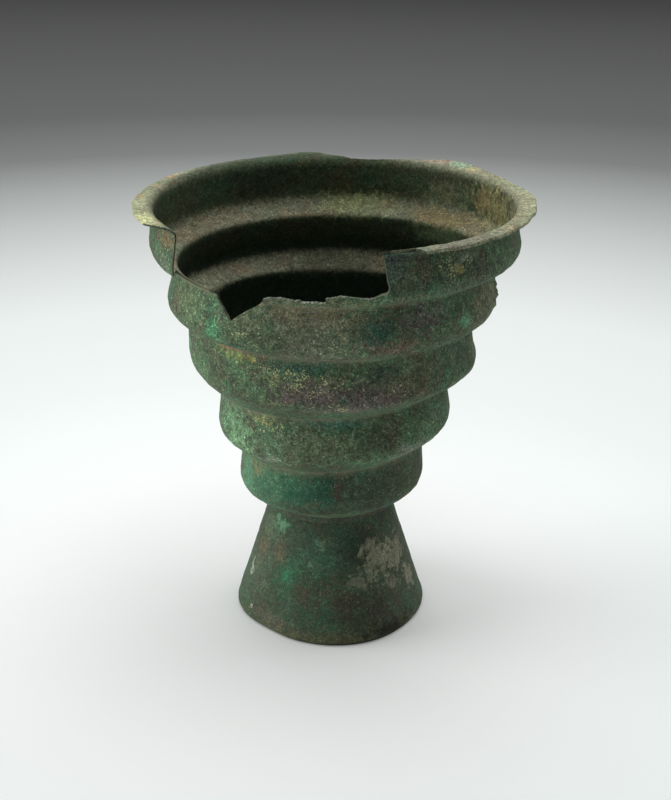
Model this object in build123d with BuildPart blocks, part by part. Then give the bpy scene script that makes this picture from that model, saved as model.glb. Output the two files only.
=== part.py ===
"""Stepped bronze goblet of raised sheet on a hollow conical foot, with a piece broken out of its mouth.

Millimetres, +Z up. The origin is the centre of the foot's base ring, and the front, where the mouth
is broken, faces -Y. The wall is one sheet whose section climbs in five rounded steps to a turned-out
lip. It closes with a floor disc at the waist, and a ring of solder holds it on the foot.
"""
from build123d import *
from math import atan2, cos, radians, sin, tan
import os

# Sheet metal
wall_sheet = 0.8
foot_sheet = 1.0
floor_sheet = 0.8

# Foot: an open cone whose top edge is turned in to a flat land
foot_radius = 27.7
foot_height = 33.5
waist_radius = 17.0
land_width = 6.0
land_rounding = 1.5

# Solder between the two turned-in lands, with a bead showing in the crease
solder_thickness = 0.4
solder_setback = 0.5
bead_radius = 0.4
bead_clearance = 0.1

# Steps of the wall from the waist up: each goes out along a ledge, then up a wall that leans inward
ledge_width = [9.0, 7.5, 8.3, 6.8, 7.1]
ledge_rise = [5.5, 5.6, 6.1, 3.1, 2.4]
wall_rise = [12.4, 12.1, 12.9, 12.3, 12.6]
wall_lean = [0.9, 1.7, 1.0, 2.6, 1.3]
knee_rounding = 5.0
crease_rounding = 1.2
waist_rounding = 2.0

# Lip, turned out almost level
lip_width = 5.3
lip_rise = 0.3
lip_rounding = 1.5
edge_rounding = 0.3

# Floor disc, laid on the wall's turned-in land
floor_clearance = 0.3

# Piece broken out of the mouth: angles in degrees from the front, positive to the right
break_left = -55.5
break_right = 14.3
lip_break_left = -62.0
lip_break_right = 24.5
notch_left = -42.3
notch_bottom = -36.4
notch_right = -23.0
spur = -20.0
shelf_step = -2.7
shelf_dip = 9.9
notch_depth = 5.6
shelf_height = 3.4
shelf_rise = 1.3
shelf_end_rise = 2.3
stub_drop = 0.2

# Stretch of lip broken off at the back, from its first corner round to its last
back_loss_angles = [141.0, 158.0, 172.0, 184.0]
lip_left_at_back = 0.6

# Section of the wall: up from the land through every step to the lip's edge
land_radius = waist_radius - land_width
wall_base = foot_height + solder_thickness
wall_points = [(land_radius, wall_base), (waist_radius, wall_base)]
wall_radii = [waist_rounding]
for width, rise, climb, lean in zip(ledge_width, ledge_rise, wall_rise, wall_lean):
    radius, height = wall_points[-1]
    knee = (radius + width, height + rise)
    wall_points += [knee, (knee[0] - lean, knee[1] + climb)]
    wall_radii += [knee_rounding, crease_rounding]
neck_radius, neck_height = wall_points[-1]
wall_radii[-1] = lip_rounding
lip_radius = neck_radius + lip_width
overall_height = neck_height + lip_rise
wall_points.append((lip_radius, overall_height))
first_crease = neck_height - wall_rise[-1] - ledge_rise[-1]

# Outline of the missing piece, as angles and heights seen from the axis
above_lip = overall_height + lip_width
shelf = first_crease + shelf_height
stub_top = neck_height - stub_drop
break_outline = [
    (break_left, above_lip),
    (break_left, first_crease),
    (notch_left, first_crease),
    (notch_bottom, first_crease - notch_depth),
    (notch_right, first_crease),
    (spur, shelf),
    (shelf_step, shelf),
    (shelf_step, shelf + shelf_rise),
    (shelf_dip, shelf + shelf_rise / 2),
    (break_right, shelf + shelf_end_rise),
    (break_right, stub_top),
    (lip_break_right, stub_top),
    (lip_break_right, above_lip),
]
cut_near = waist_radius
cut_far = lip_radius + lip_width

# Lost pieces of lip in plan, as angles and radii: the slanting left end and the stretch at the back
left_end = [(break_left, neck_radius), (break_left, cut_far), (lip_break_left, lip_radius)]
first_angle, inner_start, inner_end, last_angle = back_loss_angles
back_radius = neck_radius + lip_left_at_back
back_stretch = [
    (first_angle, lip_radius),
    (inner_start, back_radius),
    (inner_end, back_radius),
    (last_angle, lip_radius),
    (inner_end, cut_far),
    (inner_start, cut_far),
]
lip_underside = neck_height - lip_rounding - wall_sheet

os.makedirs("parts", exist_ok=True)

# Wall: the section thickened inward, revolved, its lip edge eased, then the broken pieces taken out
with BuildPart() as stepped_wall:
    with BuildSketch(Plane.XZ):
        with BuildLine():
            FilletPolyline(*wall_points, radius=wall_radii)
            offset(amount=wall_sheet, side=Side.LEFT)
        make_face()
    revolve(axis=Axis.Z)
    fillet(stepped_wall.edges().filter_by(GeomType.CIRCLE).sort_by(Axis.Z)[-2:], edge_rounding)
    for depth in (cut_near, cut_far):
        section = [(depth * tan(radians(angle)), height) for angle, height in break_outline]
        with BuildSketch(Plane.XZ.offset(depth)):
            with BuildLine():
                Polyline(*section, close=True)
            make_face()
    loft(ruled=True, mode=Mode.SUBTRACT)
    for lost_lip in (left_end, back_stretch):
        corners = [(r * sin(radians(angle)), -r * cos(radians(angle))) for angle, r in lost_lip]
        with BuildSketch(Plane.XY.offset(lip_underside)):
            with BuildLine():
                Polyline(*corners, close=True)
            make_face()
        extrude(amount=above_lip - lip_underside, mode=Mode.SUBTRACT)
stepped_wall.part.label = "stepped_wall"
export_step(stepped_wall.part, "parts/stepped_wall.step")

# Floor disc: lies on the flat of the wall's land, clear of the bend where the first ledge begins
ledge_angle = atan2(ledge_rise[0], ledge_width[0])
bend_reach = waist_rounding * tan(ledge_angle / 2)
floor_radius = waist_radius - bend_reach - floor_clearance
with BuildPart() as floor_disc:
    with BuildSketch(Plane.XY.offset(wall_base + wall_sheet)):
        Circle(floor_radius)
    extrude(amount=floor_sheet)
    fillet(floor_disc.edges().group_by(Axis.Z)[-1], edge_rounding)
floor_disc.part.label = "floor_disc"
export_step(floor_disc.part, "parts/floor_disc.step")

# Solder: a flat ring between the two lands, ending in a round bead that sits in the groove between
# the first ledge and the cone, as far from one as from the other
cone_angle = atan2(foot_height, foot_radius - waist_radius)
groove_depth = solder_thickness / (tan(ledge_angle) + tan(cone_angle))
groove_radius = waist_radius - groove_depth
groove_height = wall_base - groove_depth * tan(ledge_angle)
bead_distance = (bead_radius + bead_clearance) / sin((ledge_angle + cone_angle) / 2)
bead_slope = (ledge_angle - cone_angle) / 2
bead_centre = groove_radius + bead_distance * cos(bead_slope)
bead_height = groove_height + bead_distance * sin(bead_slope)
ring_start = land_radius + solder_setback
with BuildPart() as waist_solder:
    with BuildSketch(Plane.XZ):
        with Locations((ring_start, foot_height)):
            Rectangle(bead_centre - ring_start, solder_thickness, align=(Align.MIN, Align.MIN))
        with Locations((bead_centre, bead_height)):
            Circle(bead_radius)
    revolve(axis=Axis.Z)
waist_solder.part.label = "waist_solder"
export_step(waist_solder.part, "parts/waist_solder.step")

# Foot: the cone is drawn past the base and cut off level, so that it stands on a flat ring
foot_spread = (foot_radius - waist_radius) / foot_height
cut_off = foot_sheet * 2
with BuildPart() as conical_foot:
    with BuildSketch(Plane.XZ):
        with BuildLine():
            FilletPolyline(
                (land_radius, foot_height),
                (waist_radius, foot_height),
                (foot_radius + cut_off * foot_spread, -cut_off),
                radius=land_rounding,
            )
            offset(amount=foot_sheet, side=Side.RIGHT)
        make_face()
    revolve(axis=Axis.Z)
    split(bisect_by=Plane.XY, keep=Keep.TOP)
conical_foot.part.label = "conical_foot"
export_step(conical_foot.part, "parts/conical_foot.step")

print(f"height {overall_height:.1f}, mouth radius {lip_radius:.1f}, foot radius {foot_radius:.1f} mm")
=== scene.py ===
"""A stepped bronze goblet that lay buried: corroded sheet bronze with a piece broken out of its mouth.

Metres, +Z up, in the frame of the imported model, whose front faces -Y. Angles round the goblet are in
degrees from the front, positive to the right. The sections follow the goblet from its foot upward.
"""

import math

import bpy
import numpy as np
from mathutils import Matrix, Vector, noise


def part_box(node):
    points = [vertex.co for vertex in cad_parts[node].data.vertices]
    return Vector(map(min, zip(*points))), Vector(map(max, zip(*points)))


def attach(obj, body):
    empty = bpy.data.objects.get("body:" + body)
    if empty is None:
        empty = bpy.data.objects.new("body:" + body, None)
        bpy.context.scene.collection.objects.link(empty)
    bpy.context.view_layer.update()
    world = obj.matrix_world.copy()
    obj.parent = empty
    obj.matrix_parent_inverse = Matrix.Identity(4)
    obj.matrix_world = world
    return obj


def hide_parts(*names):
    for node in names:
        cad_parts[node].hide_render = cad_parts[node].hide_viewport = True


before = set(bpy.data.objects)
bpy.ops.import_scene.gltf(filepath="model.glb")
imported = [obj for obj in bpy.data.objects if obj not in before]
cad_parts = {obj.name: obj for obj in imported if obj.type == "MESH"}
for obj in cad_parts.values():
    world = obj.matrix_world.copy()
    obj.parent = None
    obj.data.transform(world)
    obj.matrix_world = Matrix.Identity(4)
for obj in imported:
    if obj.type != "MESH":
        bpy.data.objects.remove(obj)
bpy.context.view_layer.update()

# Conical foot
# An open cone of raised bronze sheet that the goblet stands on. Its top is turned in to a flat land under the
# bowl. Its base has been knocked out of round, and burial left green and brown patina and lime on it.
mm = 0.001
foot_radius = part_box("conical_foot")[1].x
foot_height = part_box("conical_foot")[1].z
foot_slack = 0.25 * mm
base_radius = foot_radius - foot_slack
base_round = 1.0 * mm
waist_radius = 17.0 * mm
land_radius = 11.0 * mm
foot_sheet = 1.0 * mm
foot_bend = 1.5 * mm
foot_columns = 240
sharp_bend = math.radians(55)

# Knocks at the base: angle, spread and how far out. They and the lifted part of its edge fade up the cone
foot_knocks = [(18, 32, 1.3 * mm), (-42, 18, -1.0 * mm), (0, 60, 0.8 * mm)]
knock_fade = 1.5
base_lift = 0.6 * mm
lift_angle = 28
lift_spread = 38
lift_fade = 6

# Corrosion: height, size across and seed. It and the sheet's full thickness begin a little above the base
foot_lumps = [(0.16 * mm, 14 * mm, 3.0), (0.10 * mm, 2.6 * mm, 7.0)]
smooth_base = 1.5 * mm
base_thinned = 0.7


def rounded_line(corners, radii, runs, bends):
    """Points along straight runs and round corners. runs and bends say into how many pieces each is cut."""
    corners = [np.array(corner) for corner in corners]
    line = [corners[0]]
    turns = zip(corners, corners[1:], corners[2:])
    for (before, corner, after), radius, run, bend in zip(turns, radii, runs, bends):
        back = (before - corner) / np.linalg.norm(before - corner)
        ahead = (after - corner) / np.linalg.norm(after - corner)
        half = math.acos(back @ ahead) / 2
        middle = (back + ahead) / np.linalg.norm(back + ahead)
        centre = corner + middle * radius / math.sin(half)
        first = corner + back * radius / math.tan(half)
        last = corner + ahead * radius / math.tan(half)
        line += [line[-1] + (first - line[-1]) * t for t in np.linspace(0, 1, run + 1)[1:]]
        turn = math.pi - 2 * half
        for t in np.linspace(0, 1, bend + 1)[1:]:
            swing = (first - centre) * math.sin((1 - t) * turn) + (last - centre) * math.sin(t * turn)
            line.append(centre + swing / math.sin(turn))
    line += [line[-1] + (corners[-1] - line[-1]) * t for t in np.linspace(0, 1, runs[-1] + 1)[1:]]
    return np.array(line)


def turned(line, angles):
    """A grid of points, a row for each point of the section and a column for each angle."""
    round_it = np.radians(angles)
    x = line[:, :1] * np.sin(round_it)
    y = -line[:, :1] * np.cos(round_it)
    z = line[:, 1:] + 0 * round_it
    return np.stack([x, y, z], axis=-1)


def outward(points):
    """The unit normal at each point of a grid whose columns close on themselves."""
    along = np.gradient(points, axis=0)
    around = np.roll(points, -1, axis=1) - np.roll(points, 1, axis=1)
    normal = np.cross(around, along)
    return normal / np.linalg.norm(normal, axis=-1, keepdims=True)


def uneven(points, size, seed):
    """Smooth noise from about -1 to 1 at each point of a grid, with lumps about a size across."""
    octaves = 4
    samples = points.reshape(-1, 3) / size + seed
    values = [noise.fractal(Vector(sample), 1.0, 2.0, octaves) for sample in samples]
    return np.array(values).reshape(points.shape[:2])


def lumpy(points, lumps):
    """How far each point of a grid stands out, from lumps of a height, a size across and a seed."""
    return sum(height * uneven(points, size, seed) for height, size, seed in lumps)


def bump_at(values, centre, spread):
    """A smooth hump over values, 1 at its centre."""
    return np.exp(-((values - centre) / spread) ** 2)


def bumps_at(angles, bumps):
    """The sum of humps round the goblet, each of an angle, a spread and a height."""
    return sum(height * bump_at(angles, angle, spread) for angle, spread, height in bumps)


def sheet_piece(name, outer, inner, left, marks):
    """A closed mesh of sheet metal with an outer and an inner skin over one grid of rows and closed columns.

    The sheet ends where left falls to 0. marks are values for the finish: a name, its values on the outer
    skin and those on the inner. The mark named edge is 1 on the faces across the sheet's thickness.
    """
    rows, columns = left.shape
    places = [((i, j), (i, j), 0.0) for i, j in np.argwhere(left > 0).tolist()]
    number = {place[0]: k for k, place in enumerate(places)}
    cuts = {}

    def end_of_metal(a, b):
        key = (min(a, b), max(a, b))
        if key not in cuts:
            cuts[key] = len(places)
            places.append((*key, left[key[0]] / (left[key[0]] - left[key[1]])))
        return cuts[key]

    skin = []
    for i in range(rows - 1):
        for j in range(columns):
            beside = (j + 1) % columns
            cell = [(i, j), (i, beside), (i + 1, beside), (i + 1, j)]
            held = [corner in number for corner in cell]
            if all(held):
                skin.append([number[corner] for corner in cell])
            elif any(held):
                for three in (cell[:3], [cell[0], cell[2], cell[3]]):
                    face = []
                    for a, b in zip(three, three[1:] + three[:1]):
                        if a in number:
                            face.append(number[a])
                        if (a in number) != (b in number):
                            face.append(end_of_metal(a, b))
                    if face:
                        skin.append(face)
    count = len(places)
    edges = {edge for face in skin for edge in zip(face, face[1:] + face[:1])}
    rim = [[b, a, a + count, b + count] for a, b in edges if (b, a) not in edges]
    far_skin = [[k + count for k in reversed(face)] for face in skin]
    start = tuple(np.array([place[0] for place in places]).T)
    end = tuple(np.array([place[1] for place in places]).T)
    share = np.array([place[2] for place in places])

    def at_places(values):
        part = share.reshape(-1, *[1] * (values.ndim - 2))
        return values[start] * (1 - part) + values[end] * part

    mesh = bpy.data.meshes.new(name)
    corners = np.concatenate([at_places(outer), at_places(inner)])
    mesh.from_pydata(corners.tolist(), [], skin + far_skin + sorted(rim))
    for mark, on_outer, on_inner in marks:
        values = np.concatenate([at_places(on_outer), at_places(on_inner)])
        mesh.attributes.new(mark, "FLOAT", "POINT").data.foreach_set("value", values.astype(np.float32))
    edge_faces = np.repeat([0.0, 1.0], [2 * len(skin), len(rim)]).astype(np.float32)
    mesh.attributes.new("edge", "FLOAT", "FACE").data.foreach_set("value", edge_faces)
    mesh.shade_smooth()
    mesh.set_sharp_from_angle(angle=sharp_bend)
    mesh.validate()
    piece = bpy.data.objects.new(name, mesh)
    bpy.context.scene.collection.objects.link(piece)
    return piece


foot_angles = np.linspace(-180, 180, foot_columns, endpoint=False)
foot_corners = [(base_radius - foot_sheet, 0.0), (base_radius, 0.0),
                (waist_radius, foot_height), (land_radius, foot_height)]
foot_line = rounded_line(foot_corners, [base_round, foot_bend], runs=[2, 34, 4], bends=[6, 6])
foot_grid = turned(foot_line, foot_angles)
droop = 1 - foot_grid[..., 2:] / foot_height
foot_grid[..., 2] += base_lift * bump_at(foot_angles, lift_angle, lift_spread) * droop[..., 0] ** lift_fade
knock = bumps_at(foot_angles, foot_knocks)
foot_grid[..., :2] *= 1 + droop ** knock_fade * (knock / foot_radius)[:, None]
foot_normal = outward(foot_grid)
foot_bumps = lumpy(foot_grid, foot_lumps)
foot_rise = np.minimum(1, foot_grid[..., 2:] / smooth_base)
foot_outer = foot_grid + foot_normal * foot_bumps[..., None] * foot_rise
foot_inner = foot_grid - foot_normal * foot_sheet * (base_thinned + (1 - base_thinned) * foot_rise)
foot_outer[..., 2] = np.clip(foot_outer[..., 2], 0, foot_height)
foot_inner[..., 2] = np.maximum(foot_inner[..., 2], 0)
whole = np.ones(foot_grid.shape[:2])
foot = sheet_piece("foot_cone", foot_outer, foot_inner, whole, [("inside", 0 * whole, whole)])


def node(tree, kind, sockets=(), **settings):
    """A shader node with its settings, and its inputs filled by values or by the outputs of other nodes."""
    made = tree.nodes.new("ShaderNode" + kind)
    for setting, value in settings.items():
        setattr(made, setting, value)
    for socket, value in dict(sockets).items():
        if isinstance(value, bpy.types.NodeSocket):
            tree.links.new(value, made.inputs[socket])
        else:
            made.inputs[socket].default_value = value
    return made


def maths(tree, operation, *values):
    """The result of an operation on values, which may be masks."""
    return node(tree, "Math", dict(enumerate(values)), operation=operation).outputs[0]


def times(tree, value, *others):
    """A value or a mask multiplied by each of the others."""
    for other in others:
        value = maths(tree, "MULTIPLY", value, other)
    return value


def ranged(tree, value, low, high, least=0.0, most=1.0):
    """A value taken from low to high and eased to run from least to most."""
    ends = {"Value": value, "From Min": low, "From Max": high, "To Min": least, "To Max": most}
    return node(tree, "MapRange", ends, interpolation_type="SMOOTHSTEP").outputs["Result"]


def layered(tree, share, under, over):
    """One colour laid over another by a share, which may be a mask."""
    sockets = {0: share, 6: under, 7: over}
    return node(tree, "Mix", sockets, data_type="RGBA").outputs[2]


def darkened(tree, colour, shade):
    """A colour made lighter or darker by a value."""
    return node(tree, "VectorMath", {0: colour, "Scale": shade}, operation="SCALE").outputs[0]


def cloudy(tree, size, seed, detail=4.0, distortion=0.3):
    """Noise of lumps about a size across, in the goblet's own space."""
    where = node(tree, "TexCoord").outputs["Object"]
    sockets = {"Vector": where, "Scale": 1 / size, "W": seed, "Detail": detail, "Distortion": distortion}
    return node(tree, "TexNoise", sockets, noise_dimensions="4D").outputs[0]


def spots(tree, size, seed, share):
    """Scattered uneven grains about a size across. share says how thick they lie, from 0 to 1."""
    peaks = cloudy(tree, size, seed, detail=1.0, distortion=0.0)
    lowest = ranged(tree, share, 0.0, 1.0, least=0.72, most=0.52)
    return ranged(tree, maths(tree, "SUBTRACT", peaks, lowest), 0.0, 0.06)


def new_group(name, inputs, outputs):
    """An empty node group with named sockets. Returns it with the sockets to read from and to write to."""
    tree = bpy.data.node_groups.new(name, "ShaderNodeTree")
    for label, value in inputs.items():
        kind = "Float" if isinstance(value, float) else "Color" if len(value) == 4 else "Vector"
        socket = tree.interface.new_socket(label, in_out="INPUT", socket_type="NodeSocket" + kind)
        socket.default_value = value
    for label, kind in outputs.items():
        tree.interface.new_socket(label, in_out="OUTPUT", socket_type="NodeSocket" + kind)
    start = tree.nodes.new("NodeGroupInput")
    end = tree.nodes.new("NodeGroupOutput")
    return tree, start.outputs, end.inputs


def rgb(red, green, blue):
    """A solid colour."""
    return (red, green, blue, 1.0)


# The patina of every piece: clouds of four colours with fine flecks, shaded by grains, pits and blotches
black = rgb(0.0, 0.0, 0.0)
patina_group, given, result = new_group(
    "Buried bronze patina",
    {"Ground": black, "Verdigris": black, "Malachite": black, "Umber": black, "Contrast": 1.0, "Seed": 0.0},
    {"Color": "Color", "Shade": "Float", "Roughness": "Float", "Height": "Float"},
)
tree = patina_group
seed_steps = (0.0, 1.7, 3.1, 4.9, 6.3, 8.8)
seeds = [maths(tree, "ADD", given["Seed"], step) for step in seed_steps]
green_clouds = cloudy(tree, 11 * mm, seeds[0], detail=6.0, distortion=0.5)
colour = layered(tree, ranged(tree, green_clouds, 0.36, 0.64), given["Ground"], given["Verdigris"])
brown_clouds = cloudy(tree, 7 * mm, seeds[1], detail=7.0, distortion=0.6)
colour = layered(tree, ranged(tree, brown_clouds, 0.48, 0.70, most=0.8), colour, given["Umber"])
bright_clouds = cloudy(tree, 6 * mm, seeds[2], detail=7.0, distortion=0.6)
colour = layered(tree, ranged(tree, bright_clouds, 0.50, 0.72, most=0.85), colour, given["Malachite"])
flecks = cloudy(tree, 1.1 * mm, seeds[1], detail=3.0)
colour = layered(tree, ranged(tree, flecks, 0.52, 0.66, most=0.45), colour, given["Umber"])
colour = layered(tree, ranged(tree, flecks, 0.46, 0.34, most=0.45), colour, given["Malachite"])
tree.links.new(colour, result["Color"])
middle = cloudy(tree, 2.2 * mm, seeds[3])
fine = cloudy(tree, 0.85 * mm, seeds[4], detail=3.0)
grain = cloudy(tree, 0.42 * mm, seeds[5], detail=1.5)
gritty = ranged(tree, cloudy(tree, 3.5 * mm, seeds[5]), 0.35, 0.65, least=0.5, most=1.4)
bright_grains = times(tree, ranged(tree, grain, 0.50, 0.78, most=1.25), gritty)
dark_pits = ranged(tree, grain, 0.46, 0.26, most=0.38)
between_grains = 0.86
grain_shade = maths(tree, "SUBTRACT", maths(tree, "ADD", bright_grains, between_grains), dark_pits)
mottle = ranged(tree, fine, 0.3, 0.7, least=0.72, most=1.28)
blotches = ranged(tree, middle, 0.3, 0.7, least=0.80, most=1.20)
uneven_shade = maths(tree, "SUBTRACT", times(tree, grain_shade, mottle, blotches), 1.0)
shade = maths(tree, "ADD", times(tree, uneven_shade, given["Contrast"]), 1.0)
darkest_shade = 0.1
tree.links.new(maths(tree, "MAXIMUM", shade, darkest_shade), result["Shade"])
tree.links.new(ranged(tree, middle, 0.3, 0.7, least=0.66, most=0.92), result["Roughness"])
relief_height = maths(tree, "ADD", times(tree, middle, 0.7), times(tree, fine, 0.5))
relief_height = maths(tree, "ADD", relief_height, times(tree, grain, 0.25))
tree.links.new(relief_height, result["Height"])

# A stain or a crust: a patch round a place, with a ragged edge
stain_group, given, result = new_group(
    "Stain",
    {"Place": (0.0, 0.0, 0.0), "Spread": (1.0, 1.0, 1.0), "Ragged": 0.5, "Softness": 0.5, "Seed": 0.0},
    {"Mask": "Float"},
)
tree = stain_group
where = node(tree, "TexCoord").outputs["Object"]
apart = node(tree, "VectorMath", {0: where, 1: given["Place"]}, operation="SUBTRACT").outputs[0]
apart = node(tree, "VectorMath", {0: apart, 1: given["Spread"]}, operation="DIVIDE").outputs[0]
reach = node(tree, "VectorMath", {0: apart}, operation="LENGTH").outputs["Value"]
torn_edge = maths(tree, "SUBTRACT", cloudy(tree, 1.8 * mm, given["Seed"], detail=8.0, distortion=0.5), 0.5)
torn_most = 4.0
reach = maths(tree, "ADD", reach, times(tree, torn_edge, torn_most, given["Ragged"]))
half_faded = 0.65
faint = maths(tree, "ADD", half_faded, given["Softness"])
full = maths(tree, "SUBTRACT", half_faded, given["Softness"])
tree.links.new(ranged(tree, reach, faint, full), result["Mask"])


def stain_mask(tree, place, width, tall, ragged, seed, softness=0.5):
    """Where a stain lies, from 0 to 1. Its half width and half height are in millimetres."""
    sockets = {"Place": place, "Spread": (width * mm, width * mm, tall * mm),
               "Ragged": ragged, "Softness": softness, "Seed": seed}
    return node(tree, "Group", sockets, node_tree=stain_group).outputs["Mask"]


def stained(tree, colour, stains, place, allowed, softness=0.5):
    """Lays stains over a colour where a mask allows them.

    Each stain has an angle, a height, a half width and a half height in millimetres, a colour, its share and
    how ragged its edge is.
    """
    for seed, (angle, height, width, tall, tint, share, ragged) in enumerate(stains):
        mask = stain_mask(tree, place(angle, height * mm), width, tall, ragged, float(seed), softness)
        colour = layered(tree, times(tree, mask, share, allowed), colour, tint)
    return colour


def new_finish(name):
    """An empty material. Returns it with its tree and its output."""
    material = bpy.data.materials.new(name)
    material.use_nodes = True
    material.node_tree.nodes.clear()
    return material, material.node_tree, node(material.node_tree, "OutputMaterial")


def corroded(piece, finish, output, colour, patina, pit_depth, relief):
    """Ends a finish with the matt, pitted surface of old bronze, and puts it on a piece."""
    tree = finish.node_tree
    pits = node(tree, "Bump", {"Height": patina.outputs["Height"], "Distance": pit_depth, "Strength": relief})
    surface = node(tree, "BsdfPrincipled", {
        "Base Color": colour,
        "Roughness": patina.outputs["Roughness"],
        "Normal": pits.outputs["Normal"],
        "Specular IOR Level": 0.2,
    })
    tree.links.new(surface.outputs["BSDF"], output.inputs["Surface"])
    piece.data.materials.append(finish)


def place_at(radius, angle, height):
    """The place at a radius from the axis, an angle and a height."""
    return (radius * math.sin(math.radians(angle)), -radius * math.cos(math.radians(angle)), height)


def on_foot(angle, height):
    """The place on the cone at an angle and a height."""
    return place_at(np.interp(height, foot_line[:, 1], foot_line[:, 0]), angle, height)


earth = rgb(0.15, 0.115, 0.07)
dark_earth = rgb(0.045, 0.042, 0.027)
# Stains of patina and earth; the dark ones on the right are partly painted shade, away from the lamp on the
# left
foot_stains = [
    (-62, 15.0, 9, 15, rgb(0.100, 0.138, 0.084), 0.65, 0.6),
    (0, 1.5, 45, 3.0, rgb(0.10, 0.095, 0.05), 0.7, 0.6),
    (-34, 17.0, 6, 9, rgb(0.042, 0.150, 0.075), 0.6, 0.7),
    (-66, 21.0, 4, 6, earth, 0.6, 0.7),
    (-44, 22.0, 3, 5, earth, 0.6, 0.8),
    (-41, 3.4, 8, 2.5, rgb(0.13, 0.12, 0.085), 0.6, 0.7),
    (-35, 16.5, 2.6, 2.4, rgb(0.045, 0.24, 0.12), 0.6, 0.9),
    (-4, 25.0, 10, 8, rgb(0.066, 0.130, 0.080), 0.7, 0.6),
    (-62, 27.5, 6, 5, rgb(0.125, 0.190, 0.112), 0.6, 0.6),
    (11, 12.0, 4, 3, rgb(0.075, 0.050, 0.032), 0.6, 0.8),
    (25, 8.0, 11, 7, dark_earth, 0.8, 0.6),
    # Painted shadow: a near-black band at the bottom of the front right, where the base is lifted
    (37, 2.0, 12, 3.5, rgb(0.016, 0.015, 0.009), 0.9, 0.6),
    (-50, 29.5, 2.8, 3.0, rgb(0.14, 0.33, 0.18), 0.75, 0.9),
    (150, 13.0, 10, 8, earth, 0.4, 0.7),
    (-130, 7.0, 10, 6, dark_earth, 0.7, 0.6),
    (-108, 24.0, 5, 5, rgb(0.06, 0.20, 0.11), 0.5, 0.8),
    (24, 24.0, 8, 8, rgb(0.028, 0.042, 0.026), 0.85, 0.6),
    (62, 20.0, 12, 14, rgb(0.058, 0.060, 0.040), 0.7, 0.6),
]
lime = rgb(0.203, 0.207, 0.139)
pale_lime = rgb(0.36, 0.39, 0.29)
pale_green = rgb(0.16, 0.27, 0.16)
foot_crusts = [
    (42, 20.5, 8.5, 6.0, lime, 0.8, 0.8),
    (36, 25.0, 5.0, 2.8, lime, 0.7, 0.8),
    (60, 20.5, 6.5, 5.5, lime, 0.75, 0.85),
    (70, 11.5, 4.0, 5.0, rgb(0.27, 0.26, 0.18), 0.7, 0.8),
    (22, 16.5, 5.5, 2.8, lime, 0.45, 0.9),
    (48, 13.0, 4.0, 2.6, lime, 0.6, 0.8),
    (-72, 13.0, 1.5, 3.5, pale_lime, 0.8, 0.9),
    (-7, 26.5, 2.6, 2.4, pale_green, 0.5, 1.0),
    (-15, 21.0, 1.2, 1.2, pale_green, 0.7, 0.7),
    (-60, 4.0, 1.0, 0.8, pale_lime, 0.9, 0.6),
    (172, 20.0, 4.5, 3.5, lime, 0.6, 0.8),
    (-120, 10.0, 3.0, 2.0, lime, 0.5, 0.9),
]
# Darker than the bowl's tones, partly as painted shade under the bowl
foot_tones = {
    "Ground": rgb(0.054, 0.075, 0.045),
    "Verdigris": rgb(0.060, 0.108, 0.062),
    "Malachite": rgb(0.029, 0.112, 0.058),
    "Umber": rgb(0.076, 0.067, 0.041),
    "Contrast": 0.8,
    "Seed": 11.0,
}
crust_softness = 0.2
lime_share = 0.5
foot_finish, tree, output = new_finish("foot_patina")
inside = node(tree, "Attribute", attribute_name="inside").outputs["Fac"]
outside = maths(tree, "SUBTRACT", 1.0, inside)
patina = node(tree, "Group", foot_tones, node_tree=patina_group)
colour = stained(tree, patina.outputs["Color"], foot_stains, on_foot, outside)
colour = stained(tree, colour, foot_crusts, on_foot, outside, crust_softness)
colour = darkened(tree, colour, patina.outputs["Shade"])
lime_grains = times(tree, spots(tree, 0.5 * mm, seed=2.0, share=0.2), lime_share)
colour = layered(tree, lime_grains, colour, pale_lime)
corroded(foot, foot_finish, output, colour, patina, pit_depth=0.22 * mm, relief=0.9)
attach(foot, "root")
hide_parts("conical_foot")

# Waist solder
# A thin ring of soft solder run in between the foot's land and the bowl's, to hold the two together. It fills
# the groove between them and shows as a paler, knobbly line.
solder_thick = 0.4 * mm
solder_start = land_radius + 0.5 * mm
solder_columns = 200
fillet_out = np.array([0.25, 0.42, 0.50, 0.58, 0.74, 1.02, 1.30]) * mm
fillet_up = np.array([-1.30, -0.85, -0.40, 0.05, 0.50, 0.95, 1.25]) * mm
solder_lumps = [(0.09 * mm, 1.6 * mm, 21.0)]

solder_angles = np.linspace(-180, 180, solder_columns, endpoint=False)
solder_line = np.stack([waist_radius + fillet_out, foot_height + fillet_up], axis=1)
solder_line = np.vstack([[(solder_start, foot_height)], solder_line])
solder_grid = turned(solder_line, solder_angles)
solder_bumps = lumpy(solder_grid, solder_lumps)
solder_bumps[0] = 0
solder_outer = solder_grid + outward(solder_grid) * solder_bumps[..., None]
solder_seat = np.stack([np.full(len(solder_line), solder_start), solder_line[:, 1]], axis=1)
solder_top = turned(solder_seat, solder_angles)
solder_top[..., 2] = np.clip(solder_top[..., 2], foot_height, foot_height + solder_thick)
whole = np.ones(solder_grid.shape[:2])
solder = sheet_piece("waist_solder_bead", solder_outer, solder_top, whole, [])

solder_tones = {
    "Ground": rgb(0.060, 0.068, 0.045),
    "Verdigris": rgb(0.076, 0.092, 0.060),
    "Malachite": rgb(0.040, 0.084, 0.052),
    "Umber": rgb(0.072, 0.062, 0.042),
    "Seed": 23.0,
}
solder_finish, tree, output = new_finish("solder_patina")
patina = node(tree, "Group", solder_tones, node_tree=patina_group)
colour = darkened(tree, patina.outputs["Color"], patina.outputs["Shade"])
corroded(solder, solder_finish, output, colour, patina, pit_depth=0.2 * mm, relief=0.8)
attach(solder, "root")
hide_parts("waist_solder")

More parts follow.
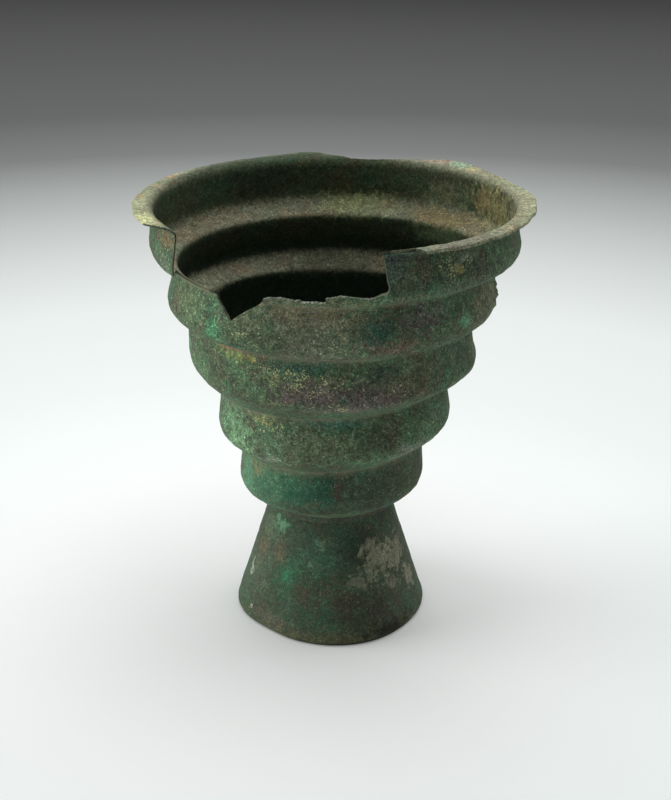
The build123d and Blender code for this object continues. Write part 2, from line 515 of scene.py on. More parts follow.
# Stepped wall
# The bowl, raised from one sheet of bronze in five rounded steps, with a lip turned out level. It leans a
# little, a piece is broken out of its mouth at the front, and a stretch of lip is lost at the back.
wall_sheet = 0.8 * mm
wall_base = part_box("stepped_wall")[0].z
lip_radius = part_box("stepped_wall")[1].x
lip_rise = 0.3 * mm
seat_bend = 2.0 * mm
knee_bend = 5.0 * mm
crease_bend = 1.2 * mm
neck_bend = 1.5 * mm
edge_round = 0.4 * mm
edge_steps = (0.5, 0.2, 0.0)
seat_pieces = 3
knee_pieces = 6
crease_pieces = 4
lip_pieces = 7

# Each step from the bottom up, in millimetres: its ledge's width and rise, its wall's rise and lean inward.
# Then how many pieces the ledge and the wall are cut into, more where the break and the crust are
steps = [
    (9.0, 5.5, 12.4, 0.9, 4, 6),
    (7.5, 5.6, 12.1, 1.7, 4, 6),
    (8.3, 6.1, 12.9, 1.0, 4, 7),
    (6.8, 3.1, 12.3, 2.6, 4, 15),
    (7.1, 2.4, 12.6, 1.3, 8, 17),
]
wall_corners = [(land_radius, wall_base), (waist_radius, wall_base)]
wall_radii = [seat_bend]
wall_runs = [seat_pieces]
wall_bends = [seat_pieces]
creases = []
for width, rise, climb, lean, ledge_pieces, wall_pieces in steps:
    radius, height = wall_corners[-1]
    knee = (radius + width * mm, height + rise * mm)
    crease = (knee[0] - lean * mm, knee[1] + climb * mm)
    wall_corners += [knee, crease]
    wall_radii += [knee_bend, crease_bend]
    wall_runs += [ledge_pieces, wall_pieces]
    wall_bends += [knee_pieces, crease_pieces]
    creases.append(crease)
neck_radius, neck_height = creases.pop()
lip_height = neck_height + lip_rise
wall_radii[-1] = neck_bend
wall_corners.append((lip_radius - edge_round, lip_height))
wall_line = rounded_line(wall_corners, wall_radii, wall_runs + [lip_pieces], wall_bends)
wall_line = np.vstack([wall_line, [(lip_radius - edge_round * back, lip_height) for back in edge_steps]])
wall_lengths = np.concatenate([[0], np.cumsum(np.linalg.norm(np.diff(wall_line, axis=0), axis=1))])

# Columns lie closer at the break in front and at the crust on the right
fine_step = 0.66
coarse_step = 1.6
wall_angles = np.concatenate([
    np.arange(-150, -72, coarse_step),
    np.arange(-72, 30, fine_step),
    np.arange(30, 60, coarse_step),
    np.arange(60, 104, fine_step),
    np.arange(104, 209.5, coarse_step),
])


def length_at(height):
    """How far up the sheet, measured along its section, a height lies."""
    return np.interp(height, wall_line[:, 1], wall_lengths)


# The break's outline on the unrolled sheet, as angles and lengths up the section
top_crease = creases[-1][1]
crease_length = length_at(top_crease)
neck_length = length_at(neck_height)
edge_length = wall_lengths[-1]
past_edge = edge_length + 4 * mm
front_break = [
    (-66.0, past_edge),
    (-64.0, edge_length),
    (-60.0, neck_length + 1.5 * mm),
    (-54.2, neck_length - 1.3 * mm),
    (-54.7, crease_length + 13.2 * mm),
    (-55.4, crease_length + 8.1 * mm),
    (-57.0, crease_length + 6.3 * mm),
    (-60.5, crease_length + 4.4 * mm),
    (-65.0, crease_length + 2.6 * mm),
    (-69.5, crease_length + 1.1 * mm),
    (-62.0, crease_length + 0.5 * mm),
    (-50.0, crease_length + 0.3 * mm),
    (-42.7, crease_length + 0.6 * mm),
    (-42.8, crease_length - 1.0 * mm),
    (-42.2, crease_length - 1.6 * mm),
    (-40.9, crease_length - 2.4 * mm),
    (-39.1, crease_length - 3.4 * mm),
    (-37.3, crease_length - 5.0 * mm),
    (-35.9, crease_length - 6.2 * mm),
    (-29.7, crease_length - 2.5 * mm),
    (-22.6, crease_length + 0.6 * mm),
    (-20.9, crease_length + 6.2 * mm),
    (-19.4, crease_length + 6.9 * mm),
    (-14.1, crease_length + 7.2 * mm),
    (-11.6, crease_length + 6.7 * mm),
    (-7.0, crease_length + 6.3 * mm),
    (-2.6, crease_length + 6.2 * mm),
    (-2.3, crease_length + 7.8 * mm),
    (2.1, crease_length + 8.3 * mm),
    (4.8, crease_length + 7.9 * mm),
    (10.3, crease_length + 7.1 * mm),
    (11.9, crease_length + 7.8 * mm),
    (15.6, crease_length + 8.8 * mm),
    (14.5, crease_length + 14.1 * mm),
    (13.7, neck_length - 0.3 * mm),
    (22.6, neck_length + 0.3 * mm),
    (24.0, edge_length),
    (24.6, past_edge),
]
back_loss = [
    (139.0, past_edge),
    (142.0, edge_length),
    (150.0, edge_length - 1.8 * mm),
    (158.0, neck_length + 0.1 * mm),
    (167.0, neck_length - 0.5 * mm),
    (175.0, neck_length - 0.4 * mm),
    (181.0, edge_length - 2.4 * mm),
    (186.0, edge_length),
    (188.0, past_edge),
]


def off_outline(across, along, outline):
    """Distance on the unrolled sheet from a closed outline, negative inside it."""
    apart = np.full(across.shape, np.inf)
    inside = np.zeros(across.shape, bool)
    for (ax, ay), (bx, by) in zip(outline, outline[1:] + outline[:1]):
        run, rise = bx - ax, by - ay
        share = np.clip(((across - ax) * run + (along - ay) * rise) / (run ** 2 + rise ** 2), 0, 1)
        apart = np.minimum(apart, np.hypot(across - ax - share * run, along - ay - share * rise))
        if rise:
            inside ^= ((ay > along) != (by > along)) & (across < ax + (along - ay) / rise * run)
    return np.where(inside, -apart, apart)


wall_grid = turned(wall_line, wall_angles)
degree_arc = math.radians(neck_radius)
across = 0 * wall_grid[..., 0] + wall_angles * degree_arc
along = 0 * across + wall_lengths[:, None]
left = np.full(across.shape, np.inf)
for outline in (front_break, back_loss):
    unrolled = [(angle * degree_arc, length) for angle, length in outline]
    left = np.minimum(left, off_outline(across, along, unrolled))

# The break's ragged line: how far it strays on the shelf in front and elsewhere, its teeth's size, a seed
shelf_start = -21
shelf_end = 13
on_shelf = (wall_angles > shelf_start) & (wall_angles < shelf_end)
ragged_line = [(0.35 * mm, 0.10 * mm, 2.2 * mm, 31.0), (0.28 * mm, 0.03 * mm, 0.9 * mm, 33.0)]
for shelf_stray, other_stray, size, seed in ragged_line:
    left += np.where(on_shelf, shelf_stray, other_stray) * uneven(wall_grid, size, seed)

# Knocks: the bowl's lean and its tilted creases, and an uneven lip that is raised beside the loss at the back
lean_heights = np.array([34, 46, 52, 58, 64, 70, 75, 80, 84, 89, 104, 119]) * mm
lean_right = np.array([0.0, 0.4, 0.7, 1.2, 1.2, 0.4, 1.4, 0.3, 0.1, 0.3, 1.2, 1.2]) * mm
tilt_heights = np.array([34, 52, 70, 89, 104, 119]) * mm
tilt_right = np.array([-0.2, 1.45, 1.2, -0.35, 0.25, 0.0]) * mm
lip_wave = 0.35 * mm
lip_wave_size = 30 * mm
lip_sag = 0.6
lip_raised = [(136, 10, 0.9 * mm), (191, 9, 0.7 * mm)]
lip_wear = 0.5 * mm
lip_wear_size = 9 * mm
lip_worn_in = [(108, 8, 0.8 * mm)]
level = wall_grid[..., 2].copy()
out_on_lip = np.clip((along - neck_length) / (edge_length - neck_length), 0, 1)
wall_grid[..., 0] += np.interp(level, lean_heights, lean_right)
wall_grid[..., 2] += np.interp(level, tilt_heights, tilt_right) * np.sin(np.radians(wall_angles))
wall_grid[..., 2] += lip_wave * out_on_lip * (uneven(wall_grid, lip_wave_size, 41.0) - lip_sag)
wall_grid[..., 2] += out_on_lip * bumps_at(wall_angles, lip_raised)
shrink = lip_wear + lip_wear * uneven(wall_grid, lip_wear_size, 43.0) + bumps_at(wall_angles, lip_worn_in)
wall_grid[..., :2] *= (1 - out_on_lip * shrink / lip_radius)[..., None]
wall_normal = outward(wall_grid)

# Dents and corrosion, a bulge at the right of the top step, and knobs of crust: angle, height and size
wall_lumps = [(0.22 * mm, 20 * mm, 51.0), (0.11 * mm, 2.8 * mm, 53.0)]
bulge_out = 0.8 * mm
bulge_angle = 88
bulge_spread = 30
bulge_height = 107 * mm
bulge_tall = 3 * mm
smooth_seat = 3 * mm
knob_out = 0.6 * mm
knobs = [
    (78, 103.3, 0.5), (75, 102.3, 0.7), (83, 101.0, 0.6), (77, 99.6, 0.7), (82, 98.2, 0.6), (80, 96.8, 0.8),
    (74, 95.4, 0.6), (70, 98.6, 0.6), (86, 94.4, 0.7), (89, 99.2, 0.7), (92, 96.2, 0.6), (79, 93.6, 0.6),
]
rough = lumpy(wall_grid, wall_lumps)
for angle, height, size in knobs:
    apart = np.hypot((wall_angles - angle) * degree_arc, level - height * mm)
    rough = rough + knob_out * bump_at(apart, 0, size * mm)
bulge = bump_at(wall_angles, bulge_angle, bulge_spread) * bump_at(level, bulge_height, bulge_tall)
rough = rough + bulge_out * bulge
rough = rough * np.clip((level - wall_base) / smooth_seat, 0, 1)
wall_outer = wall_grid + wall_normal * rough[..., None]

# The sheet thins at its rounded lip, and at the break along the shelf and at the left end
edge_thick = 0.4
break_thick = 0.55
break_thinning = 1.5 * mm
left_end_angles = (-75, -45)
left_end_start = crease_length + 7 * mm
shows_inside = 0.5
inner_lumps = [(0.07 * mm, 2.2 * mm, 57.0)]
from_edge = np.clip((edge_length - along) / edge_round, 0, 1)
thick = wall_sheet * (edge_thick + (1 - edge_thick) * np.sqrt(1 - (1 - from_edge) ** 2))
at_left = (wall_angles > left_end_angles[0]) & (wall_angles < left_end_angles[1])
on_left_end = at_left & (along > left_end_start)
thinned = break_thick + (1 - break_thick) * np.clip(left / break_thinning, 0, 1)
thick *= np.where(on_shelf | on_left_end, thinned, 1)
inner_rough = lumpy(wall_grid, inner_lumps)
wall_inner = wall_grid - wall_normal * (thick - inner_rough - shows_inside * rough)[..., None]

# Marks for the finish: the creases, the pale lip, narrower at the back, the break and the dust inside
crease_half = 0.75 * mm
back_angle = 200
pale_lip_start = -1.4 * mm
less_at_back = 3.6 * mm
pale_back_spread = 44
lip_fade = 2.2 * mm
pale_edge = 0.5 * mm
break_edge = 0.12 * mm
dust_free = 3 * mm
dust_fade = 2 * mm
least_dust = -0.2
dust_back_spread = 50
crease_reach = np.min([np.abs(wall_lengths - length_at(height)) for radius, height in creases], axis=0)
crease_mark = 0 * across + bump_at(crease_reach, 0, crease_half)[:, None]
from_back = np.abs(wall_angles % 360 - back_angle)
lip_start = pale_lip_start + less_at_back * bump_at(from_back, 0, pale_back_spread)
lip_mark = np.clip((along - neck_length - lip_start) / lip_fade, 0, 1)
lip_edge = np.exp(-(edge_length - along) / pale_edge)
break_mark = np.exp(-np.clip(left, 0, None) / break_edge)
near_lip = np.clip((along - neck_length + dust_free) / dust_fade, 0, 1)
swept = near_lip * bump_at(from_back, 0, dust_back_spread)
dust_mark = np.clip(-wall_normal[..., 2], least_dust, 1) * (1 - swept)
nowhere = 0 * across
wall = sheet_piece("stepped_bowl", wall_outer, wall_inner, left, [
    ("inside", nowhere, nowhere + 1),
    ("crease", crease_mark, nowhere),
    ("lip", lip_edge, lip_mark),
    ("crumbs", break_mark * on_shelf, break_mark * on_shelf),
    ("cut", break_mark * (1 - on_shelf), break_mark * (1 - on_shelf)),
    ("dust", nowhere, dust_mark),
])


def on_wall(angle, height):
    """The place on the outside of the wall at an angle and a height."""
    x, y, z = place_at(np.interp(height, wall_line[:, 1], wall_line[:, 0]), angle, height)
    return (x + np.interp(height, lean_heights, lean_right), y, z)


def on_lip(angle, height):
    """The place in the middle of the lip at an angle and a height."""
    return place_at((neck_radius + lip_radius) / 2, angle, height)


wall_finish, tree, output = new_finish("bowl_patina")
mark_names = ("inside", "crease", "lip", "crumbs", "cut", "dust", "edge")
marks = {name: node(tree, "Attribute", attribute_name=name).outputs["Fac"] for name in mark_names}
outside = maths(tree, "SUBTRACT", 1.0, marks["inside"])
wall_place = node(tree, "SeparateXYZ", {0: node(tree, "TexCoord").outputs["Object"]}).outputs

# The outside, whose patina is coarser on the upper steps
ochre = rgb(0.40, 0.33, 0.11)
purple_brown = rgb(0.115, 0.085, 0.085)
bright_malachite = rgb(0.10, 0.36, 0.17)
deep_green = rgb(0.026, 0.124, 0.070)
dark_olive = rgb(0.060, 0.066, 0.042)
# Stains of patina and earth, partly painted light and shade: paler on the left, darker on the right and on
# the lowest step
wall_stains = [
    (-60, 115.8, 7, 3.4, rgb(0.24, 0.165, 0.085), 0.8, 0.6),
    (-62, 109.0, 6, 4, rgb(0.165, 0.195, 0.135), 0.6, 0.6),
    (15, 114.5, 7, 6, rgb(0.062, 0.085, 0.070), 0.7, 0.6),
    (36, 112.0, 12, 7, rgb(0.048, 0.058, 0.042), 0.65, 0.7),
    (18, 117.4, 8, 1.6, rgb(0.045, 0.055, 0.050), 0.8, 0.4),
    (26, 114.0, 4, 5, rgb(0.105, 0.065, 0.038), 0.6, 0.9),
    (38, 112.5, 2.4, 1.8, ochre, 0.45, 1.5),
    (42, 115.5, 4.5, 2.0, rgb(0.28, 0.30, 0.22), 0.5, 0.9),
    (-67, 98.5, 4, 5, rgb(0.20, 0.165, 0.10), 0.35, 0.7),
    (-56, 99.0, 9, 8, rgb(0.172, 0.235, 0.118), 0.6, 0.7),
    (-43, 95.2, 3.0, 4, bright_malachite, 0.6, 0.8),
    (-2, 96.0, 15, 7, rgb(0.198, 0.218, 0.150), 0.7, 0.7),
    (-6, 90.0, 17, 1.6, rgb(0.17, 0.140, 0.115), 0.6, 0.5),
    (68, 97.0, 12, 7, rgb(0.175, 0.172, 0.102), 0.7, 0.7),
    (52, 108.0, 14, 6, dark_olive, 0.6, 0.7),
    (31, 99.5, 8, 5, purple_brown, 0.75, 0.7),
    (49, 95.6, 2.6, 2.8, rgb(0.13, 0.34, 0.20), 0.65, 0.9),
    (14, 97.8, 5, 4, rgb(0.035, 0.105, 0.075), 0.8, 0.8),
    (20, 93.0, 8, 3, rgb(0.155, 0.105, 0.080), 0.75, 0.8),
    (32, 89.0, 12, 2.0, rgb(0.038, 0.048, 0.030), 0.7, 0.6),
    (-41, 86.9, 6.0, 1.7, rgb(0.25, 0.30, 0.10), 0.65, 1.2),
    (-43, 88.5, 7.0, 0.9, rgb(0.38, 0.23, 0.10), 0.8, 0.6),
    (-33, 87.0, 2.8, 1.3, rgb(0.37, 0.34, 0.11), 0.6, 1.5),
    (-22, 83.3, 3.0, 2.2, rgb(0.24, 0.22, 0.09), 0.5, 1.0),
    (-12, 86.0, 9, 3, rgb(0.040, 0.125, 0.085), 0.75, 0.8),
    (-8, 79.5, 11, 4, rgb(0.160, 0.125, 0.117), 0.8, 0.7),
    (16, 78.5, 13, 5, purple_brown, 0.85, 0.6),
    (5, 75.0, 12, 2, rgb(0.17, 0.14, 0.13), 0.7, 0.6),
    (20, 84.5, 6, 3, rgb(0.032, 0.050, 0.040), 0.7, 0.8),
    (35, 82.0, 10, 6, rgb(0.10, 0.085, 0.05), 0.6, 0.7),
    (62, 81.0, 10, 8, rgb(0.055, 0.088, 0.052), 0.65, 0.7),
    (-58, 62.0, 11, 9, rgb(0.180, 0.355, 0.180), 0.75, 0.6),
    (-50, 59.0, 5, 4, rgb(0.22, 0.36, 0.20), 0.6, 0.7),
    (-28, 60.5, 9, 6, rgb(0.165, 0.262, 0.152), 0.65, 0.7),
    (-62, 80.0, 10, 8, rgb(0.130, 0.225, 0.110), 0.7, 0.7),
    (-32, 101.0, 10, 6, rgb(0.16, 0.20, 0.115), 0.6, 0.7),
    (-6, 103.0, 15, 5, rgb(0.270, 0.230, 0.145), 0.7, 0.7),
    (-36, 67.5, 6, 2.5, rgb(0.30, 0.30, 0.12), 0.55, 0.8),
    (1, 68.3, 9, 2, rgb(0.06, 0.18, 0.13), 0.65, 0.7),
    (-6, 61.5, 10, 5, rgb(0.150, 0.165, 0.095), 0.55, 0.7),
    (68, 61.0, 9, 7, rgb(0.058, 0.095, 0.055), 0.6, 0.7),
    (41, 57.5, 8, 3.2, rgb(0.21, 0.21, 0.185), 0.6, 0.8),
    (-33, 55.8, 5, 2.6, rgb(0.29, 0.32, 0.26), 0.5, 0.9),
    (0, 40.2, 26, 1.8, rgb(0.030, 0.046, 0.029), 0.6, 0.5),
    (22, 63.0, 9, 6, dark_olive, 0.6, 0.6),
    (30, 45.0, 22, 9, rgb(0.042, 0.058, 0.037), 0.85, 0.5),
    (70, 46.0, 12, 9, rgb(0.055, 0.062, 0.032), 0.8, 0.6),
    (-64, 45.0, 7, 8, rgb(0.115, 0.31, 0.17), 0.7, 0.7),
    (-44, 44.5, 8, 7, rgb(0.062, 0.190, 0.106), 0.7, 0.7),
    (-19, 45.5, 10, 6, deep_green, 0.8, 0.6),
    (-3, 47.0, 5.5, 7, rgb(0.016, 0.080, 0.048), 0.8, 0.5),
    (4, 47.0, 1.7, 6, rgb(0.090, 0.045, 0.032), 0.6, 0.6),
    (-55, 48.2, 4, 2.5, rgb(0.28, 0.27, 0.13), 0.5, 0.8),
    (170, 79.0, 15, 6, purple_brown, 0.7, 0.7),
    (-150, 96.0, 8, 5, rgb(0.12, 0.30, 0.16), 0.5, 0.8),
    (135, 62.0, 11, 7, dark_olive, 0.7, 0.6),
    (-118, 82.0, 11, 6, rgb(0.16, 0.19, 0.10), 0.6, 0.7),
    (118, 97.0, 13, 6, rgb(0.13, 0.10, 0.065), 0.6, 0.7),
    (-165, 46.0, 11, 6, deep_green, 0.7, 0.6),
    (150, 112.0, 10, 5, dark_olive, 0.6, 0.7),
    (-108, 111.0, 8, 5, rgb(0.12, 0.08, 0.05), 0.6, 0.7),
    (104, 80.0, 3.0, 4, bright_malachite, 0.5, 0.8),
    (-140, 63.0, 12, 5, rgb(0.24, 0.25, 0.17), 0.5, 0.8),
]
wall_tones = {
    "Ground": rgb(0.085, 0.118, 0.067),
    "Verdigris": rgb(0.101, 0.188, 0.099),
    "Malachite": rgb(0.055, 0.175, 0.092),
    "Umber": rgb(0.112, 0.100, 0.063),
    "Contrast": ranged(tree, wall_place["Z"], 48 * mm, 58 * mm, least=0.75, most=1.2),
    "Seed": 1.0,
}
patina = node(tree, "Group", wall_tones, node_tree=patina_group)
colour = stained(tree, patina.outputs["Color"], wall_stains, on_wall, outside)
colour = darkened(tree, colour, patina.outputs["Shade"])

# Yellow grains lie in zones, and pale ones all over: angle, height, half width and half height of each zone
speck_zones = [
    (-28, 96, 12, 5), (3, 96, 4, 7), (-21, 84, 10, 6), (-3, 82, 9, 5), (24, 79, 8, 3), (-34, 66, 8, 4),
    (36, 113, 6, 5), (4, 75.5, 6, 1.5), (160, 84, 12, 6), (-135, 96, 10, 6), (112, 64, 9, 5),
]
yellow_grain = rgb(0.52, 0.52, 0.26)
pale_grain = rgb(0.40, 0.42, 0.31)
zone_share = 0.60
zone_seed = 40.0
yellow_share = 0.9
pale_share = 0.5
speckled = 0.10
clustered = ranged(tree, cloudy(tree, 2.6 * mm, 91.0), 0.38, 0.60, least=0.35, most=1.15)
for seed, (angle, height, width, tall) in enumerate(speck_zones):
    place = on_wall(angle, height * mm)
    zone = stain_mask(tree, place, width, tall, ragged=0.8, seed=zone_seed + seed)
    speckled = maths(tree, "ADD", times(tree, zone, zone_share, clustered), speckled)
yellow_grains = times(tree, spots(tree, 0.42 * mm, 5.0, speckled), outside, yellow_share)
colour = layered(tree, yellow_grains, colour, yellow_grain)
pale_grains = times(tree, spots(tree, 0.36 * mm, seed=9.0, share=0.40), outside, pale_share)
colour = layered(tree, pale_grains, colour, pale_grain)

# Fine scratches below the break, and creases painted paler in patches, less so to the right
scratches = [(-9, 102.6, 10, 0.16), (-4, 100.0, 9, 0.16), (-12, 101.2, 7, 0.12), (1, 98.9, 7, 0.12)]
scratch_colour = rgb(0.27, 0.26, 0.24)
scratch_share = 0.6
scratch_seed = 60.0
pale_crease_colour = rgb(0.21, 0.195, 0.13)
for seed, (angle, height, width, tall) in enumerate(scratches):
    place = on_wall(angle, height * mm)
    scratch = stain_mask(tree, place, width, tall, ragged=0.12, seed=scratch_seed + seed)
    colour = layered(tree, times(tree, scratch, scratch_share), colour, scratch_colour)
patchy = ranged(tree, cloudy(tree, 5 * mm, 71.0), 0.3, 0.6, least=0.15, most=0.65)
less_at_right = ranged(tree, wall_place["X"], 5 * mm, 25 * mm, least=1.0, most=0.4)
colour = layered(tree, times(tree, marks["crease"], patchy, less_at_right), colour, pale_crease_colour)

# The inside: painted shade that darkens it towards dark green with depth, with dust on the ledges
inside_stains = [
    (172, 106.5, 15, 4, rgb(0.29, 0.34, 0.145), 0.6, 0.7),
    (133, 101.5, 12, 4.5, rgb(0.098, 0.152, 0.072), 0.8, 0.6),
    (112, 112.0, 13, 8, rgb(0.31, 0.29, 0.130), 0.75, 0.8),
    (120, 113.0, 5, 4, rgb(0.26, 0.17, 0.08), 0.5, 0.9),
    (180, 90.0, 24, 3.5, rgb(0.075, 0.082, 0.050), 0.85, 0.4),
    (138, 110.0, 12, 7, rgb(0.150, 0.165, 0.090), 0.7, 0.8),
    (88, 113.0, 13, 7, rgb(0.32, 0.325, 0.185), 0.75, 0.8),
    (135, 105.5, 14, 2.5, rgb(0.26, 0.195, 0.080), 0.65, 0.7),
    (-120, 112.0, 14, 7, rgb(0.075, 0.088, 0.047), 0.7, 0.7),
    (-135, 114.0, 9, 4, rgb(0.036, 0.105, 0.058), 0.6, 0.7),
    (-153, 113.5, 14, 6, rgb(0.028, 0.040, 0.022), 0.65, 0.6),
    (-106, 90.0, 17, 4, rgb(0.31, 0.33, 0.21), 0.7, 0.6),
    (-95, 99.0, 9, 5, rgb(0.018, 0.050, 0.034), 0.6, 0.6),
]
inside_tones = {
    "Ground": rgb(0.048, 0.058, 0.028),
    "Verdigris": rgb(0.046, 0.074, 0.036),
    "Malachite": rgb(0.026, 0.072, 0.040),
    "Umber": rgb(0.074, 0.062, 0.031),
    "Seed": 5.0,
}
# A dark green laid deep in the bowl as painted shade
deep_shade_green = rgb(0.007, 0.020, 0.010)
grey_dust = rgb(0.205, 0.222, 0.148)
earthy_dust = rgb(0.240, 0.205, 0.130)
dust_grit = 0.6
sheltered = node(tree, "Group", inside_tones, node_tree=patina_group)
# Painted shade: the inside's colour grows darker with depth below the mouth
painted_daylight = ranged(tree, wall_place["Z"], 88 * mm, 112 * mm, least=0.18, most=1.0)
painted_depth_shade = darkened(tree, sheltered.outputs["Color"], painted_daylight)
painted_depth_shade = layered(tree, ranged(tree, painted_daylight, 0.7, 0.2, most=0.6), painted_depth_shade, deep_shade_green)
grit = maths(tree, "SUBTRACT", cloudy(tree, 1.4 * mm, 81.0, detail=8.0), 0.5)
dusted = maths(tree, "ADD", marks["dust"], times(tree, grit, dust_grit))
dusted = ranged(tree, dusted, 0.10, 0.80, most=0.9)
earthy = ranged(tree, cloudy(tree, 6 * mm, 83.0, detail=6.0), 0.4, 0.65)
shaded = layered(tree, dusted, painted_depth_shade, layered(tree, earthy, grey_dust, earthy_dust))
shaded = stained(tree, shaded, inside_stains, on_wall, marks["inside"])
shaded = darkened(tree, shaded, sheltered.outputs["Shade"])
colour = layered(tree, marks["inside"], colour, shaded)

# The lip, where the patina is paler and drier
lip_stains = [
    (-142, 119.5, 13, 5, rgb(0.060, 0.070, 0.044), 0.85, 0.5),
    (-163, 119.5, 28, 9, rgb(0.036, 0.064, 0.037), 1.0, 0.3),
    (168, 119.5, 22, 9, rgb(0.055, 0.060, 0.038), 1.0, 0.3),
    (-118, 119.9, 3.0, 2, rgb(0.42, 0.24, 0.10), 0.6, 0.9),
    (-93, 119.9, 3.0, 2, rgb(0.44, 0.27, 0.11), 0.6, 0.9),
    (129, 119.6, 3.8, 2, rgb(0.54, 0.40, 0.13), 0.9, 0.8),
    (142, 119.6, 6.5, 2.5, rgb(0.34, 0.245, 0.195), 0.8, 0.7),
    (124, 119.9, 10.0, 3, rgb(0.28, 0.26, 0.175), 0.7, 0.6),
    (134, 120.4, 5.0, 1.5, rgb(0.21, 0.36, 0.25), 0.7, 0.7),
    (-86, 119.9, 9.0, 3, rgb(0.40, 0.42, 0.25), 0.7, 0.6),
    (-68, 119.9, 7.5, 3, rgb(0.56, 0.57, 0.29), 0.85, 0.6),
    (88, 119.9, 14.0, 3, rgb(0.41, 0.405, 0.265), 0.6, 0.7),
    (38, 119.6, 17, 4, rgb(0.150, 0.152, 0.112), 0.8, 0.6),
]
lip_tones = {
    "Ground": rgb(0.285, 0.285, 0.175),
    "Verdigris": rgb(0.300, 0.335, 0.205),
    "Malachite": rgb(0.19, 0.285, 0.175),
    "Umber": rgb(0.32, 0.265, 0.165),
    "Seed": 17.0,
}
lip_patina = node(tree, "Group", lip_tones, node_tree=patina_group)
lip_colour = stained(tree, lip_patina.outputs["Color"], lip_stains, on_lip, marks["lip"])
lip_shade = ranged(tree, lip_patina.outputs["Shade"], 0.3, 1.8, least=0.45, most=1.75)
colour = layered(tree, marks["lip"], colour, darkened(tree, lip_colour, lip_shade))

# The break: pale crumbs along the shelf, and a cut edge at its sides, pale outside and dark inside as painted
# shadow
dull_crumb = rgb(0.13, 0.14, 0.10)
pale_crumb = rgb(0.46, 0.47, 0.40)
pale_cut_and_highlight = rgb(0.22, 0.21, 0.13)
dark_cut_and_shadow = rgb(0.020, 0.020, 0.014)
lip_cut = rgb(0.018, 0.018, 0.018)
notch_x = -27.6 * mm
crumbs = ranged(tree, cloudy(tree, 0.8 * mm, 77.0), 0.50, 0.62)
crumbly = maths(tree, "MAXIMUM", marks["edge"], crumbs)
crumb_colour = layered(tree, crumbs, dull_crumb, pale_crumb)
colour = layered(tree, times(tree, marks["crumbs"], crumbly), colour, crumb_colour)
cut_edge = layered(tree, ranged(tree, marks["inside"], 0.30, 0.42), pale_cut_and_highlight, dark_cut_and_shadow)
# A painted highlight: a pale line along the inner side of the cut, low on the break
low_edge = ranged(tree, wall_place["Z"], 110 * mm, 108 * mm)
highlight_line = times(tree, ranged(tree, marks["inside"], 0.62, 0.76), low_edge)
cut_edge = layered(tree, highlight_line, cut_edge, pale_cut_and_highlight)
from_notch = maths(tree, "ABSOLUTE", maths(tree, "SUBTRACT", wall_place["X"], notch_x))
cut_edge = layered(tree, ranged(tree, from_notch, 2.8 * mm, 1.8 * mm), cut_edge, dark_cut_and_shadow)
# Painted shadow on the cut under the lip
shadow_under_lip = ranged(tree, wall_place["Z"], 116.8 * mm, 117.8 * mm)
cut_edge = layered(tree, shadow_under_lip, cut_edge, dark_cut_and_shadow)
lip_tip = ranged(tree, wall_place["X"], -45.2 * mm, -46.4 * mm)
cut_edge = layered(tree, lip_tip, cut_edge, lip_cut)
colour = layered(tree, times(tree, marks["cut"], marks["edge"]), colour, cut_edge)
smoother_inside = ranged(tree, marks["inside"], 0.0, 1.0, least=0.9, most=0.5)
corroded(wall, wall_finish, output, colour, patina, pit_depth=0.22 * mm, relief=smoother_inside)
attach(wall, "root")
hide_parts("stepped_wall")

# Floor disc
# A plain disc of bronze sheet laid on the bowl's turned-in land, which closes the bowl at the waist. Dust and
# earth lie on it.
disc_low, disc_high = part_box("floor_disc")
disc_radius = disc_high.x
disc_rim = 0.3 * mm
disc_wear = 0.15 * mm
disc_wear_size = 4 * mm
disc_columns = 160
disc_rings = 17
disc_angles = np.linspace(-180, 180, disc_columns, endpoint=False)
disc_radii = np.concatenate([np.linspace(0, disc_radius - disc_rim, disc_rings), [disc_radius]])
disc_under = turned(np.stack([disc_radii, 0 * disc_radii + disc_low.z], axis=1), disc_angles)
disc_over = turned(np.stack([disc_radii, 0 * disc_radii + disc_high.z], axis=1), disc_angles)
disc_over[..., 2] -= disc_wear + disc_wear * uneven(disc_over, disc_wear_size, 61.0)
disc_over[-1, :, 2] -= disc_rim / 2
whole = np.ones(disc_under.shape[:2])
disc = sheet_piece("bowl_floor", disc_under, disc_over, whole, [])

disc_tones = {
    "Ground": rgb(0.140, 0.138, 0.092),
    "Verdigris": rgb(0.135, 0.155, 0.102),
    "Malachite": rgb(0.075, 0.115, 0.072),
    "Umber": rgb(0.185, 0.150, 0.095),
    "Seed": 29.0,
}
disc_finish, tree, output = new_finish("floor_patina")
patina = node(tree, "Group", disc_tones, node_tree=patina_group)
colour = darkened(tree, patina.outputs["Color"], patina.outputs["Shade"])
corroded(disc, disc_finish, output, colour, patina, pit_depth=0.2 * mm, relief=0.8)
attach(disc, "root")
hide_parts("floor_disc")

# Table
# A wide sheet of white paper under the goblet, painted grey far from it as a painted falloff of the studio
# light.
table_half = 1.6
table_corners = [(-table_half, -table_half, 0), (table_half, -table_half, 0),
                 (table_half, table_half, 0), (-table_half, table_half, 0)]
table_mesh = bpy.data.meshes.new("paper_table")
table_mesh.from_pydata(table_corners, [], [(0, 1, 2, 3)])
table = bpy.data.objects.new("paper_table", table_mesh)
bpy.context.scene.collection.objects.link(table)
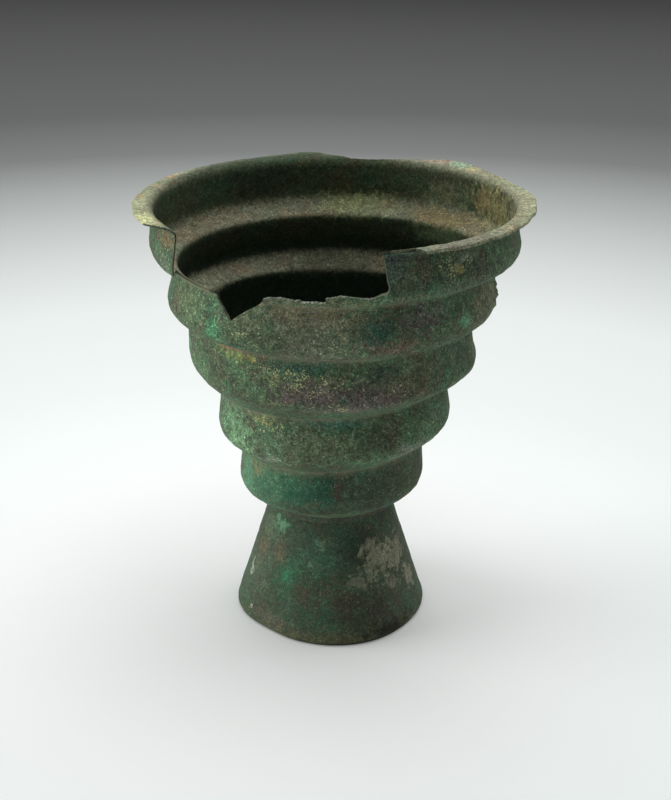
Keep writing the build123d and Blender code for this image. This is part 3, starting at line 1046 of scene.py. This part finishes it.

# The paper's painted falloff: how far from the lit middle, and how pale. Greys are tinged a little green and
# blue
lit_middle = (-0.02, 0.0, 0.0)
near_tone = (0.08, rgb(0.945, 0.958, 0.952))
far_tone = (0.98, rgb(0.108, 0.110, 0.109))
greys = [(0.13, 0.87), (0.175, 0.81), (0.27, 0.745), (0.36, 0.590),
         (0.46, 0.405), (0.59, 0.187), (0.73, 0.121)]
grey_green = 1.05
grey_blue = 1.03
paper, tree, output = new_finish("white_paper")
where = node(tree, "TexCoord").outputs["Object"]
reach = node(tree, "VectorMath", {0: where, 1: lit_middle}, operation="DISTANCE").outputs["Value"]
painted_falloff = node(tree, "ValToRGB", {"Fac": reach})
painted_falloff.color_ramp.interpolation = "LINEAR"
for stop, (place, colour) in zip(painted_falloff.color_ramp.elements, (near_tone, far_tone)):
    stop.position = place
    stop.color = colour
for place, grey in greys:
    painted_falloff.color_ramp.elements.new(place).color = rgb(grey, grey * grey_green, grey * grey_blue)
surface = node(tree, "BsdfPrincipled", {
    "Base Color": painted_falloff.outputs["Color"],
    "Roughness": 0.9,
    "Specular IOR Level": 0.1,
})
tree.links.new(surface.outputs["BSDF"], output.inputs["Surface"])
table_mesh.materials.append(paper)

# Light
# One large soft lamp above, a little behind and to the right, one low on the left, weak ones in front and on
# the right, and a little light all round. Each lamp has a place, a size and a power.
lamp_aim = Vector((0, 0, 0.06))
lamps = {
    "lamp_above": ((0.10, 0.34, 1.00), 1.8, 17.2),
    "lamp_left": ((-1.8, 0.05, 0.26), 1.4, 33.0),
    "lamp_front": ((-0.25, -1.2, 1.0), 1.0, 1.6),
    "lamp_right": ((1.8, 0.5, 0.30), 0.5, 2.6),
}
all_round = 0.12
for name, (place, size, power) in lamps.items():
    lamp_data = bpy.data.lights.new(name, "AREA")
    lamp_data.shape = "SQUARE"
    lamp_data.size = size
    lamp_data.energy = power
    lamp = bpy.data.objects.new(name, lamp_data)
    lamp.location = place
    lamp.rotation_euler = (lamp_aim - Vector(place)).to_track_quat("-Z", "Y").to_euler()
    bpy.context.scene.collection.objects.link(lamp)
world = bpy.data.worlds.new("studio")
world.use_nodes = True
world.node_tree.nodes["Background"].inputs["Color"].default_value = rgb(1.0, 1.0, 1.0)
world.node_tree.nodes["Background"].inputs["Strength"].default_value = all_round
bpy.context.scene.world = world

# Camera
# It stands a little over a third of a metre in front and looks down on the goblet, as the photograph does.
camera_lens = 63.68
camera_place = (1.47 * mm, -365.1 * mm, 214.4 * mm)
camera_dip = 22.63
camera_data = bpy.data.cameras.new("camera")
camera_data.lens = camera_lens
camera = bpy.data.objects.new("camera", camera_data)
camera.location = camera_place
camera.rotation_euler = (math.radians(90 - camera_dip), 0, 0)
bpy.context.scene.collection.objects.link(camera)
bpy.context.scene.camera = camera
bpy.context.scene.view_settings.view_transform = "Standard"
